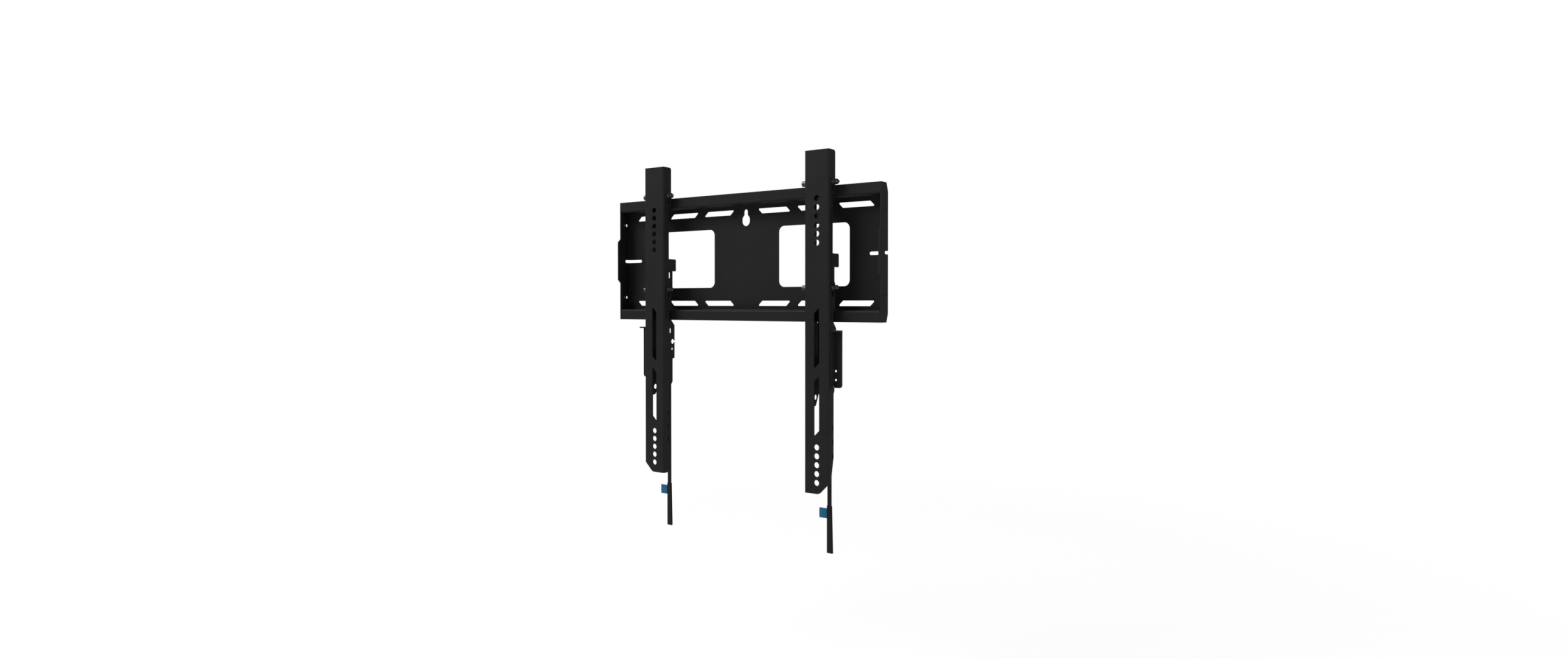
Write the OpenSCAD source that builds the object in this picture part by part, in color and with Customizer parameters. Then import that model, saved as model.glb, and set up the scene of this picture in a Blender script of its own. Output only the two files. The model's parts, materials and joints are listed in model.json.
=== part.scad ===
// TV wall mount: a folded wall plate and two hook-on brackets with latches.
// X runs along the wall, Y points into the wall, Z is up.
// The origin is the centre of the plate's back face, on the wall.

/* [Wall plate] */
// Width of the wall plate
plate_w = 483; // [400:1:700]
// Height of the wall plate over its lips
plate_h = 193; // [160:1:260]
// Distance from the wall to the front of the lips
plate_depth = 22.5; // [18:0.5:40]
// Half height of the flat web that lies on the wall
web_half = 82; // [70:1:110]
// Sheet thickness of every folded part
sheet = 2; // [1.5:0.1:3]
// Outer radius of a fold
bend_r = 3; // [2.5:0.1:5]
// How far the tab on an end flange stands from the wall
tab_depth = 28.2; // [24:0.1:40]
// Half height of that tab at its root
tab_half = 36.4; // [20:0.1:60]
// Half height of that tab at its tip
tab_tip_half = 31; // [15:1:55]
// Half height of a window in the web
window_half = 45.5; // [20:0.5:60]
// Inner and outer end of a window
window_x = [60, 181]; // [0:0.5:240]
// Height of the wall screw slots
wall_slot_h = 7.8; // [5:0.1:12]
// Height of the rows of wall screw slots above and below the middle
wall_slot_z = 70; // [50:1:78]
// Inner end of each wall screw slot
wall_slot_x = [21.5, 91.5, 161.5]; // [0:0.5:240]
// Length of each wall screw slot
wall_slot_w = 60; // [20:1:70]
// Radius that eases a wall screw slot's corners
wall_slot_edge = 1.2; // [0.5:0.1:3]
// Diameter of the keyhole's round part
key_d = 15; // [10:0.5:24]
// Width of the keyhole's neck
key_neck_w = 7.4; // [4:0.1:10]
// Height of the keyhole's round part
key_z = 55.8; // [40:0.1:70]
// Top of the keyhole's neck
key_top_z = 73.9; // [60:0.1:78]
// Height of the slot that crosses each end fold
end_slot_h = 5; // [3:0.5:10]
// Inner end of that slot
end_slot_x = 212; // [200:1:230]
// How far that slot runs up the end flange
end_slot_depth = 12; // [6:0.5:18]
// Diameter of the holes in the end flanges
end_hole_d = 5; // [3:0.5:8]
// Height of the holes in the end flanges
end_hole_z = 60; // [40:1:75]
// Diameter of the small holes beside them
pin_hole_d = 2.5; // [2:0.5:5]
// Distance of both from the wall
end_hole_y = [8, 14]; // [5:0.5:20]

/* [Rails] */
// Distance of each rail from the middle
rail_x = 150; // [100:1:220]
// Distance from the wall to the front of the rails
rail_front = 42; // [36:0.5:60]
// Width of a rail
rail_w = 40; // [30:1:60]
// Top end of a rail
rail_top = 145.2; // [120:0.1:220]
// Bottom end of a rail
rail_bottom = -338; // [-450:1:-250]
// Diameter of the screen holes
screen_hole_d = 8.5; // [6:0.1:10]
// Distance between neighbouring screen holes
screen_pitch = 12.5; // [8:0.5:20]
// Highest screen hole of the upper row
upper_hole_z = 77.5; // [60:0.5:120]
// Lowest screen hole of the lower row
lower_hole_z = -322.5; // [-400:0.5:-250]
// Screen holes in the upper row
upper_holes = 6; // [2:1:8]
// Screen holes in the lower row
lower_holes = 5; // [2:1:8]
// Depth of the side flanges above and below the plate
flange_depth = 18; // [12:0.5:24]
// Depth of the side flanges in front of the plate
flange_waist = 11; // [7:0.5:16]
// Depth of the side flanges in the lower half
flange_low = 13.7; // [8:0.1:20]
// Depth of the outer flange at its lower tip
flange_tip = 6; // [4:0.5:10]
// Bottom and top of the lower front slot, and of the upper one
front_slot_z = [-257.4, -171.1, -162.4, -75.4]; // [-330:0.1:0]
// Width of the front slots
front_slot_w = 8.5; // [5:0.5:12]
// Size of the chamfer at the lower outer corner
corner_cut = 16; // [5:1:20]
// Height of the three small slots in each flange
small_slot_z = [-244.2, -264.7, -285.2]; // [-330:0.1:0]
// Depth of those slots behind the rail's front face
small_slot_y = 10.6; // [6:0.1:12]
// Length and width of those slots
small_slot = [8, 3]; // [2:0.5:12]

/* [Hanging parts] */
// Outer width of the inner channel
inner_w = 35.4; // [30:0.1:50]
// Front of the inner channel behind the rail's front face
inner_front = 2.3; // [2:0.1:5]
// Lower end of the inner channel
inner_low_z = -70; // [-120:1:0]
// How far the inner channel rises over the upper lip
inner_rise = 15.5; // [12:0.5:30]
// Depth of the inner channel's flanges
inner_depth = 15; // [10:0.5:18]
// Depth of the tab on the inner channel's flanges
inner_tab_depth = 32.4; // [20:0.1:36]
// Top and bottom of that tab
inner_tab_z = [0.4, -18.8]; // [-60:0.1:40]
// Outer width of the top hook
hook_w = 26; // [23:0.1:34]
// Depth of the top hook's finger behind the lip
hook_depth = 27.4; // [24:0.1:36]
// How far the top hook's finger reaches down behind the lip
hook_grip = 12.5; // [6:0.5:13]
// Lower end of the top hook's flanges
hook_low_z = 5; // [2:0.5:60]
// Depth of the top hook's flanges in front of the lip
hook_rest_depth = 19.2; // [14:0.1:19.3]
// How far the top of the hook's finger rises over the lip
hook_rise = 9.5; // [8:0.5:14]
// How far the upper cross bolt lies over the lip
bolt_rise = 3.6; // [3:0.1:10]
// Height of the lower cross bolt
low_bolt_z = -48.3; // [-60:0.1:-42]
// Depth of the cross bolts behind the rail's front face
bolt_y = 11.5; // [6:0.5:16]
// Diameter of the cross bolts
bolt_d = 4; // [3:0.5:6]
// Travel of the rails on their bolts
level_travel = 10; // [4:0.5:15]
// Outer diameter of a washer
washer_d = 11; // [8:0.5:14]
// Thickness of a washer
washer_t = 1; // [0.5:0.1:2]
// Width across the flats of a nut
nut_w = 7; // [5.5:0.5:10]
// Height of a nut
nut_h = 6.5; // [3:0.5:8]
// How far a bolt's tip stands out of its nut
bolt_over = 2.2; // [0.5:0.1:5]
// Diameter of a bolt's head
head_d = 8; // [6:0.5:12]
// Length of a bolt's head
head_h = 7.3; // [3:0.1:10]
// Thickness of the lock washer under the head
lock_t = 1.2; // [0.8:0.1:2]

/* [Latches] */
// Outer width of the latch slider
slider_w = 21; // [16:0.5:30]
// Upper end and lower end of the latch slider
slider_z = [-18, -216]; // [-250:0.5:0]
// Depth of the latch slider's flanges under the plate
slider_depth = 37.3; // [30:0.1:40]
// Depth of its flanges behind the plate's middle and near its lower end
slider_rest_depth = 32.5; // [26:0.1:36]
// Height, depth, length and width of the slot near its top
top_port = [-25, 25.6, 10.4, 4.8]; // [-60:0.1:30]
// Height, depth, length and width of the slot under the plate
low_port = [-114, 27.7, 8.6, 4.6]; // [-130:0.1:30]
// Height, depth and diameter of the hole under it
latch_hole = [-131.5, 33.4, 8.2]; // [-150:0.1:36]
// Height, depth and diameter of the small hole
small_hole = [-143.4, 32.2, 4.8]; // [-160:0.1:36]
// Height, depth and diameter of the hole near its lower end
tongue_hole = [-203.5, 13.5, 8.3]; // [-230:0.1:36]
// Travel of a latch when its strap is pulled
latch_travel = 9.5; // [6:0.5:12]
// Outer diameter of a latch spring
spring_d = 8; // [5:0.5:10]
// Wire diameter of a latch spring
wire_d = 1.2; // [0.8:0.1:2]
// Height of the pin that holds the spring's lower end
spring_pin_z = -165.5; // [-180:0.5:-150]
// Height and depth of the bar that carries the strap
strap_bar = [-151, 32.4]; // [-200:0.1:40]
// Diameter of that bar
strap_bar_d = 3.5; // [2:0.1:5]

/* [Kickstands] */
// Top end and bottom end of a kickstand
stand_z = [-107.8, -188.5]; // [-250:0.1:0]
// Front and back of a kickstand behind the rail's front face
stand_y = [3, 14.2]; // [2:0.1:30]
// How far the back flange stands out from the rail's middle
stand_out = 33.8; // [28:0.1:40]
// How far the foot's front corner stands out from the rail's middle
foot_out = 35.3; // [28:0.1:40]
// Thickness of the foot
foot_t = 2; // [1:0.1:3]
// Sheet thickness of a kickstand
stand_sheet = 1.6; // [1:0.1:3]
// Height of the two holes in the back flange
stand_hole_z = [-165, -177.5]; // [-200:0.5:-120]
// Depth and height of the pivot
stand_pivot = [9.6, -185.9]; // [-250:0.1:20]
// Diameter of the pivot rivet
rivet_d = 2.6; // [2:0.1:5]
// Diameter of the rivet's head
rivet_head_d = 4.6; // [3:0.1:8]

/* [Straps] */
// Bottom end of a strap
strap_bottom = -430; // [-500:1:-350]
// Thickness of a strap, two layers of webbing
strap_t = 3.2; // [2:0.1:5]
// Width of the upper part of a strap
strap_w = 6; // [4:0.5:12]
// Width of a strap's grip at its top and at its bottom
grip_w = [8, 9.7]; // [5:0.1:16]
// Top and bottom of a tag
tag_z = [-365.2, -379.4]; // [-420:0.1:-300]
// Top of a strap's grip
grip_top = -361.5; // [-400:0.5:-300]
// Width of a tag
tag_w = 12.6; // [8:0.1:24]
// Thickness of a tag
tag_t = 1.2; // [0.4:0.1:3]

/* [Hidden] */
$fn = 40;
half_w = plate_w / 2;
half_h = plate_h / 2;
inner_z = [inner_low_z, half_h + inner_rise];
hook_tip_z = half_h - hook_grip;
hook_top_z = half_h + hook_rise;
bolt_z = [half_h + bolt_rise, low_bolt_z];
half_rail = rail_w / 2;
half_inner = inner_w / 2;
half_hook = hook_w / 2;
half_slider = slider_w / 2;
bolt_slot_w = bolt_d + 0.4;
washer_in = half_rail + 0.25;
nut_in = washer_in + washer_t;
bolt_tip = nut_in + nut_h + bolt_over;
head_in = nut_in + lock_t;
hook_front = inner_front + sheet + 0.4;
slider_front = hook_front;
lip_front = rail_front - plate_depth;
lip_back = lip_front + sheet;
stand_in = half_rail + 0.4;
strap_low_y = 36.8;
strap_left = -grip_w[0] / 2;
edge = 1;
eps = 0.01;

// Helpers: prisms along one axis from a drawn outline
module along_x(x0, x1) {
    translate([x0, 0, 0])
        rotate([90, 0, 90])
            linear_extrude(height = x1 - x0)
                children();
}

module along_y(y0, y1) {
    translate([0, y1, 0])
        rotate([90, 0, 0])
            linear_extrude(height = y1 - y0)
                children();
}

module along_z(z0, z1) {
    translate([0, 0, z0])
        linear_extrude(height = z1 - z0)
            children();
}

module rod_x(x0, x1, y, z, d) {
    translate([x0, y, z])
        rotate([0, 90, 0])
            cylinder(h = x1 - x0, d = d);
}

// A quarter of a folded sheet's ring, turned by steps of 90 degrees
module fold(x, y, turn) {
    translate([x, y])
        rotate(90 * turn)
            intersection() {
                difference() {
                    circle(r = bend_r);
                    circle(r = bend_r - sheet);
                }
                square(bend_r);
            }
}

module box2(x0, x1, y0, y1) {
    translate([x0, y0])
        square([x1 - x0, y1 - y0]);
}

// A slot along the outline's vertical axis, with round ends
module slot_v(x, y0, y1, w) {
    box2(x - w / 2, x + w / 2, y0 + w / 2, y1 - w / 2);
    translate([x, y0 + w / 2])
        circle(d = w);
    translate([x, y1 - w / 2])
        circle(d = w);
}

module slot_h(x0, x1, y, w) {
    box2(x0 + w / 2, x1 - w / 2, y - w / 2, y + w / 2);
    translate([x0 + w / 2, y])
        circle(d = w);
    translate([x1 - w / 2, y])
        circle(d = w);
}

module round_box(x0, x1, y0, y1, r) {
    box2(x0 + r, x1 - r, y0, y1);
    box2(x0, x1, y0 + r, y1 - r);
    for (x = [x0 + r, x1 - r], y = [y0 + r, y1 - r])
        translate([x, y])
            circle(r = r);
}

// Corners of an outline eased by a small radius
function unit(v) = v / norm(v);
function eased(p, r, n) = [
    for (i = [0 : len(p) - 1])
        let (a = unit(p[(i + len(p) - 1) % len(p)] - p[i]))
        let (b = unit(p[(i + 1) % len(p)] - p[i]))
        let (half = acos(a * b) / 2)
        let (c = p[i] + unit(a + b) * r / sin(half))
        let (s = p[i] + a * r / tan(half) - c)
        let (e = p[i] + b * r / tan(half) - c)
        for (k = [0 : n])
            c + r * unit(s * (n - k) + e * k)
];

// A U channel standing along Z, its back open
module channel(w, d, z0, z1) {
    h = w / 2;
    along_z(z0, z1) {
        box2(-h + bend_r, h - bend_r, 0, sheet);
        box2(-h, -h + sheet, bend_r, d);
        box2(h - sheet, h, bend_r, d);
        fold(h - bend_r, bend_r, 3);
        fold(-h + bend_r, bend_r, 2);
    }
}

// Places one bracket's parts: x out from the rail's middle, y back from its front
module place(side) {
    if (side > 0)
        translate([rail_x, -rail_front, 0])
            children();
    else
        mirror([1, 0, 0])
            translate([rail_x, -rail_front, 0])
                children();
}

// The same, for parts that are not mirrored
module place_same(side) {
    translate([side * rail_x, -rail_front, 0])
        children();
}

// Wall plate
module plate_half_outline(s) {
    scale([1, s])
        union() {
            fold(-bend_r, web_half - bend_r, 0);
            box2(-plate_depth + bend_r, -bend_r, web_half - sheet, web_half);
        }
    scale([1, s])
        union() {
            translate([-plate_depth + bend_r, web_half - sheet + bend_r])
                rotate(180)
                    intersection() {
                        difference() {
                            circle(r = bend_r);
                            circle(r = bend_r - sheet);
                        }
                        square(bend_r);
                    }
            box2(-plate_depth, -plate_depth + sheet, web_half - sheet + bend_r, half_h);
        }
}

module wall_slot_outline(x0) {
    d = wall_slot_h;
    polygon(eased([[x0, -d / 2], [x0 + wall_slot_w - d, -d / 2], [x0 + wall_slot_w, d / 2],
        [x0 + d, d / 2]], wall_slot_edge, 4));
}

module wall_slots() {
    for (x = wall_slot_x, side = [0, 1], low = [0, 1])
        mirror([side, 0])
            mirror([0, low])
                translate([0, wall_slot_z])
                    mirror([0, 1])
                        wall_slot_outline(x);
}

// Keyhole: round below, straight shoulders up to the neck
module keyhole() {
    r = key_d / 2;
    n = key_neck_w / 2;
    translate([0, key_z])
        circle(r = r);
    polygon([[-r + 0.2, key_z], [-r + 0.2, key_z + 4.8], [-n, key_z + 10],
        [n, key_z + 10], [r - 0.2, key_z + 4.8], [r - 0.2, key_z]]);
    slot_v(0, key_z, key_top_z, key_neck_w);
}

module end_flange() {
    back = 1.5;
    relief = 7;
    intersection() {
        along_z(-half_h, half_h) {
            fold(half_w - bend_r, -bend_r, 0);
            box2(half_w - sheet, half_w, -tab_depth, -bend_r);
        }
        along_x(half_w - bend_r - 1, half_w + 1)
            polygon([[1, -web_half], [1, web_half], [-back, web_half], [-relief, half_h],
                [-plate_depth, half_h], [-plate_depth, tab_half], [-tab_depth, tab_tip_half],
                [-tab_depth, -tab_tip_half], [-plate_depth, -tab_half], [-plate_depth, -half_h],
                [-relief, -half_h], [-back, -web_half]]);
    }
}

module wall_plate() {
    web_end = half_w - bend_r;
    color([0.09, 0.09, 0.1])
        difference() {
            union() {
                along_x(-web_end, web_end) {
                    box2(-sheet, 0, -web_half + bend_r, web_half - bend_r);
                    plate_half_outline(1);
                    plate_half_outline(-1);
                }
                along_x(web_end - 1, half_w - eps)
                    for (s = [-1, 1])
                        scale([1, s])
                            box2(-plate_depth + bend_r, -bend_r, web_half - sheet, web_half);
                along_x(-half_w + eps, -web_end + 1)
                    for (s = [-1, 1])
                        scale([1, s])
                            box2(-plate_depth + bend_r, -bend_r, web_half - sheet, web_half);
                for (x = [web_end - 1, -half_w + eps])
                    along_x(x, x + bend_r + 1 - eps)
                        for (s = [-1, 1])
                            scale([1, s])
                                box2(-plate_depth, -plate_depth + sheet, web_half + 1, half_h);
                end_flange();
                mirror([1, 0, 0])
                    end_flange();
            }
            along_y(-sheet - 1, 1) {
                for (s = [0, 1])
                    mirror([s, 0])
                        round_box(window_x[0], window_x[1], -window_half, window_half, 9);
                wall_slots();
                keyhole();
            }
            for (s = [0, 1])
                mirror([s, 0, 0]) {
                    along_y(-4, 1)
                        slot_h(end_slot_x, half_w + 6, 0, end_slot_h);
                    along_x(half_w - 4, half_w + 1)
                        slot_h(-end_slot_depth, 4, 0, end_slot_h);
                    for (s = [-1, 1]) {
                        rod_x(half_w - 5, half_w + 1, -end_hole_y[0], s * end_hole_z, end_hole_d);
                        rod_x(half_w - 5, half_w + 1, -end_hole_y[1], s * end_hole_z, pin_hole_d);
                    }
                }
        }
}

// Rails
module rail_side_outline(low_end, low_depth) {
    corner = low_end[1] > rail_bottom ? [[bend_r, low_end[1]], [bend_r, rail_bottom]] : [];
    polygon(concat([[-1, rail_top + 1], [flange_depth - 3, rail_top + 1], [flange_depth - 3, rail_top],
        [flange_depth - 0.9, rail_top - 0.9], [flange_depth, rail_top - 3],
        [flange_depth, web_half], [flange_waist, web_half], [flange_waist, -33],
        [flange_depth, -42], [flange_depth, -web_half + 6], [flange_low, -web_half - 4],
        [flange_low, low_end[0]], [low_depth, low_end[1]]], corner, [[-1, rail_bottom]]));
}

module front_slot(z0, z1) {
    w = front_slot_w;
    polygon(eased([[-w / 2, z0], [w / 2, z0 + w], [w / 2, z1], [-w / 2, z1 - w]], edge, 4));
}

module rail_holes() {
    arc_x = half_rail - corner_cut - 8 * tan(22.5);
    along_y(-1, sheet + 1) {
        for (i = [0 : upper_holes - 1])
            translate([0, upper_hole_z - i * screen_pitch])
                circle(d = screen_hole_d);
        for (i = [0 : lower_holes - 1])
            translate([0, lower_hole_z + i * screen_pitch])
                circle(d = screen_hole_d);
        front_slot(front_slot_z[0], front_slot_z[1]);
        front_slot(front_slot_z[2], front_slot_z[3]);
        polygon(concat([[arc_x, rail_bottom - 5]],
            [for (a = [-90 : 9 : -45]) [arc_x + 8 * cos(a), rail_bottom + 8 + 8 * sin(a)]],
            [[half_rail, rail_bottom + corner_cut], [half_rail + 5, rail_bottom + corner_cut],
                [half_rail + 5, rail_bottom - 5]]));
    }
    along_x(-half_rail - 1, half_rail + 1) {
        for (z = bolt_z)
            slot_v(bolt_y, z - level_travel - bolt_slot_w / 2 - 0.3, z + bolt_slot_w / 2, bolt_slot_w);
        for (z = small_slot_z)
            slot_v(small_slot_y, z - small_slot[0] / 2, z + small_slot[0] / 2, small_slot[1]);
    }
    rod_x(half_rail - 5, half_rail + 5, stand_pivot[0], stand_pivot[1], rivet_d + 0.1);
}

module rail() {
    color([0.11, 0.11, 0.12])
        difference() {
            intersection() {
                channel(rail_w, flange_depth, rail_bottom, rail_top);
                union() {
                    along_x(-half_rail - 1, 0)
                        rail_side_outline([rail_bottom + 2, rail_bottom], flange_low - 2);
                    along_x(0, half_rail - bend_r)
                        polygon([[-1, rail_bottom], [5, rail_bottom], [5, rail_top + 1], [-1, rail_top + 1]]);
                    along_x(half_rail - bend_r, half_rail + 1)
                        rail_side_outline([-287, rail_bottom + corner_cut], flange_tip);
                }
            }
            rail_holes();
        }
}

module rail_left() {
    place(-1)
        rail();
}

module rail_right() {
    place(1)
        rail();
}

// Inner channel, held in the rail by the cross bolts
module inner_channel() {
    color([0.07, 0.07, 0.08])
        translate([0, inner_front, 0])
            difference() {
                channel(inner_w, inner_tab_depth - inner_front, inner_z[0], inner_z[1]);
                translate([0, -inner_front, 0])
                    along_x(-half_inner - 1, half_inner + 1) {
                        polygon([[inner_depth, inner_tab_z[0]], [inner_tab_depth - 1.5, inner_tab_z[0]],
                            [inner_tab_depth + 0.5, inner_tab_z[0] - 2],
                            [inner_tab_depth + 0.5, inner_z[1] + 1], [inner_depth, inner_z[1] + 1]]);
                        polygon([[inner_depth, inner_tab_z[1]], [inner_tab_depth - 1.5, inner_tab_z[1]],
                            [inner_tab_depth + 0.5, inner_tab_z[1] + 2],
                            [inner_tab_depth + 0.5, inner_z[0] - 1], [inner_depth, inner_z[0] - 1]]);
                    }
                along_y(-1, sheet + 1)
                    round_box(-6, 6, 5, 98, 3);
                for (z = bolt_z)
                    rod_x(-half_inner - 1, half_inner + 1, bolt_y - inner_front, z, bolt_d + 0.1);
            }
}

module inner_channel_left() {
    place_same(-1)
        inner_channel();
}

module inner_channel_right() {
    place_same(1)
        inner_channel();
}

// Top hook: long flanges that rest on the upper lip and fingers behind it
module top_hook() {
    color([0.06, 0.06, 0.07])
        translate([0, hook_front, 0])
            difference() {
                channel(hook_w, hook_depth - hook_front, hook_low_z, inner_z[1]);
                translate([0, -hook_front, 0])
                    along_x(-half_hook - 1, half_hook + 1) {
                        polygon([[hook_rest_depth, hook_low_z - 1], [hook_depth + 1, hook_low_z - 1],
                            [hook_depth + 1, hook_tip_z], [lip_back + 0.3, hook_tip_z],
                            [lip_back + 0.3, half_h], [hook_rest_depth, half_h]]);
                        polygon([[lip_front - 2, inner_z[1] + 1], [lip_front - 2, inner_z[1]],
                            [lip_front + 1, hook_top_z + 1.5], [hook_depth - 2, hook_top_z],
                            [hook_depth, hook_top_z - 2], [hook_depth + 1, hook_top_z - 2],
                            [hook_depth + 1, inner_z[1] + 1]]);
                    }
                rod_x(-half_hook - 1, half_hook + 1, bolt_y - hook_front, bolt_z[0], bolt_d + 0.1);
                along_y(-1, sheet + 1)
                    box2(-6, 6, hook_low_z - 1, 98);
            }
}

module top_hook_left() {
    place_same(-1)
        top_hook();
}

module top_hook_right() {
    place_same(1)
        top_hook();
}

// Cross bolts with a socket head on the left and a nut on the right
module cross_bolts() {
    r = head_d / 2;
    color([0.35, 0.35, 0.36])
        for (z = bolt_z)
            difference() {
                union() {
                    rod_x(-head_in - 1, bolt_tip, bolt_y, z, bolt_d);
                    translate([-head_in, bolt_y, z])
                        rotate([0, -90, 0])
                            rotate_extrude()
                                polygon([[0, 0], [r, 0], [r, head_h - 0.6], [r - 0.6, head_h], [0, head_h]]);
                }
                translate([-head_in - head_h - 1, bolt_y, z])
                    rotate([0, 90, 0])
                        cylinder(h = 4, d = 4.6, $fn = 6);
            }
}

module cross_bolts_left() {
    place_same(-1)
        cross_bolts();
}

module cross_bolts_right() {
    place_same(1)
        cross_bolts();
}

module cross_nuts() {
    color([0.35, 0.35, 0.36])
        for (z = bolt_z)
            translate([nut_in, bolt_y, z])
                rotate([0, 90, 0])
                    difference() {
                        union() {
                            cylinder(h = 1, d = nut_w + 2);
                            cylinder(h = nut_h, d = nut_w / cos(30), $fn = 6);
                        }
                        translate([0, 0, -1])
                            cylinder(h = nut_h + 2, d = bolt_d + 0.1);
                    }
}

module cross_nuts_left() {
    place_same(-1)
        cross_nuts();
}

module cross_nuts_right() {
    place_same(1)
        cross_nuts();
}

module washer(x, d, t) {
    for (z = bolt_z)
        translate([x, bolt_y, z])
            rotate([0, 90, 0])
                difference() {
                    cylinder(h = t, d = d);
                    translate([0, 0, -1])
                        cylinder(h = t + 2, d = bolt_d + 0.1);
                }
}

module washers() {
    color([0.3, 0.3, 0.31]) {
        washer(washer_in, washer_d, washer_t);
        washer(-nut_in, washer_d, washer_t);
        washer(-head_in + 0.05, head_d - 0.5, lock_t - 0.1);
    }
}

module washers_left() {
    place_same(-1)
        washers();
}

module washers_right() {
    place_same(1)
        washers();
}

// Latch slider, with its nose behind the lower lip
module slider_outline() {
    deep = slider_depth;
    rest = slider_rest_depth;
    waist = lip_front - 2.5;
    low = slider_z[1];
    polygon([[slider_front - 1, slider_z[0]], [rest, slider_z[0]], [rest, -50], [waist, -50],
        [waist, -half_h - 1], [lip_back + 0.5, -half_h - 1], [lip_back + 0.5, -half_h + 8.5],
        [lip_back + 4, -half_h + 8.5], [lip_back + 7.5, -half_h], [deep, -half_h - 9],
        [deep, -157.6], [deep - 0.8, -158.6], [rest + 0.3, -158.8], [rest, -160],
        [rest, low + 20], [rest - 3.4, low + 16], [lip_back - 1.2, low + 16],
        [lip_back - 7.7, low + 2], [lip_back - 9.5, low], [slider_front - 1, low]]);
}

module latch_slider() {
    color([0.08, 0.08, 0.09])
        difference() {
            intersection() {
                translate([0, slider_front, 0])
                    channel(slider_w, 40, slider_z[1], slider_z[0]);
                along_x(-half_slider - 1, half_slider + 1)
                    slider_outline();
            }
            along_y(slider_front - 1, slider_front + sheet + 1) {
                box2(-7, 7, -162, -74);
                box2(-7, 7, slider_z[1] - 1, -171.5);
            }
            along_x(-half_slider - 1, half_slider + 1) {
                slot_v(bolt_y, bolt_z[1] - bolt_slot_w / 2, bolt_z[1] + latch_travel + bolt_slot_w / 2 + 0.3,
                    bolt_slot_w);
                for (p = [top_port, low_port])
                    slot_v(p[1], p[0] - p[2] / 2, p[0] + p[2] / 2, p[3]);
            }
            for (p = [latch_hole, small_hole, tongue_hole])
                rod_x(-half_slider - 1, half_slider + 1, p[1], p[0], p[2]);
            rod_x(-half_slider - 1, half_slider + 1, bolt_y, spring_pin_z, 3);
            rod_x(-half_slider - 1, half_slider + 1, strap_bar[1], strap_bar[0], strap_bar_d);
        }
}

module latch_slider_left() {
    place_same(-1)
        latch_slider();
}

module latch_slider_right() {
    place_same(1)
        latch_slider();
}

// Latch spring: a close coil with an eye at each end
module spring_eye(z) {
    r = (spring_d - wire_d) / 2;
    translate([0, bolt_y, z])
        rotate([0, 90, 0])
            rotate_extrude($fn = 24)
                translate([r, 0])
                    circle(d = wire_d, $fn = 13);
}

module latch_spring() {
    r = spring_d / 2;
    eye = r - wire_d / 2;
    inner = r - wire_d;
    hang = bolt_z[1] + bolt_d / 2 + 0.1 - inner;
    hold = spring_pin_z - 1.8 + inner;
    top = hang - eye;
    low = hold + eye;
    color([0.4, 0.4, 0.41]) {
        translate([0, bolt_y, low])
            difference() {
                cylinder(h = top - low, r = r, $fn = 24);
                translate([0, 0, -1])
                    cylinder(h = top - low + 2, r = r - wire_d, $fn = 24);
            }
        spring_eye(hang);
        spring_eye(hold);
    }
}

module latch_spring_left() {
    place_same(-1)
        latch_spring();
}

module latch_spring_right() {
    place_same(1)
        latch_spring();
}

module spring_pin() {
    color([0.35, 0.35, 0.36])
        rod_x(-half_slider, half_slider, bolt_y, spring_pin_z, 3);
}

module spring_pin_left() {
    place_same(-1)
        spring_pin();
}

module spring_pin_right() {
    place_same(1)
        spring_pin();
}

module strap_bar_pin() {
    color([0.35, 0.35, 0.36])
        rod_x(-half_slider, half_slider, strap_bar[1], strap_bar[0], strap_bar_d);
}

module strap_bar_left() {
    place_same(-1)
        strap_bar_pin();
}

module strap_bar_right() {
    place_same(1)
        strap_bar_pin();
}

// Pull strap: a loop round the bar, a double band and a wider grip
module pull_strap() {
    h = strap_t / 2;
    r = strap_bar_d / 2;
    y0 = strap_bar[1] + r + h;
    z0 = strap_bar[0];
    color([0.03, 0.03, 0.03]) {
        difference() {
            union() {
                rod_x(-strap_w / 2, strap_w / 2, strap_bar[1], z0, 2 * (r + h));
                along_x(-strap_w / 2, strap_w / 2)
                    polygon([[y0 - strap_t, z0 - 2], [y0, z0], [y0 + 0.2, z0 - 10],
                        [strap_low_y + h - 0.5, -185], [strap_low_y + h, -205],
                        [strap_low_y + h, grip_top - 3], [strap_low_y - h, grip_top - 3],
                        [strap_low_y - h, -205], [strap_low_y - h - 0.5, -185],
                        [y0 + 0.2 - strap_t, z0 - 10]]);
            }
            rod_x(-strap_w / 2 - 1, strap_w / 2 + 1, strap_bar[1], z0, strap_bar_d);
        }
        along_y(strap_low_y - h, strap_low_y + h)
            polygon(eased([[strap_left, grip_top], [strap_left, strap_bottom],
                [strap_left + grip_w[1], strap_bottom], [strap_left + grip_w[0], grip_top]], edge, 3));
    }
}

module pull_strap_left() {
    place_same(-1)
        pull_strap();
}

module pull_strap_right() {
    place_same(1)
        pull_strap();
}

// Tag sewn flat on the front of the strap
module strap_tag() {
    front = strap_low_y - strap_t / 2 - tag_t;
    right = strap_left + 1;
    color([0.1, 0.28, 0.62])
        along_y(front, front + tag_t)
            polygon(eased([[right - tag_w, tag_z[1]], [right, tag_z[1]], [right, tag_z[0]],
                [right - tag_w, tag_z[0]]], 0.6, 3));
}

module strap_tag_left() {
    place_same(-1)
        strap_tag();
}

module strap_tag_right() {
    place_same(1)
        strap_tag();
}

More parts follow.
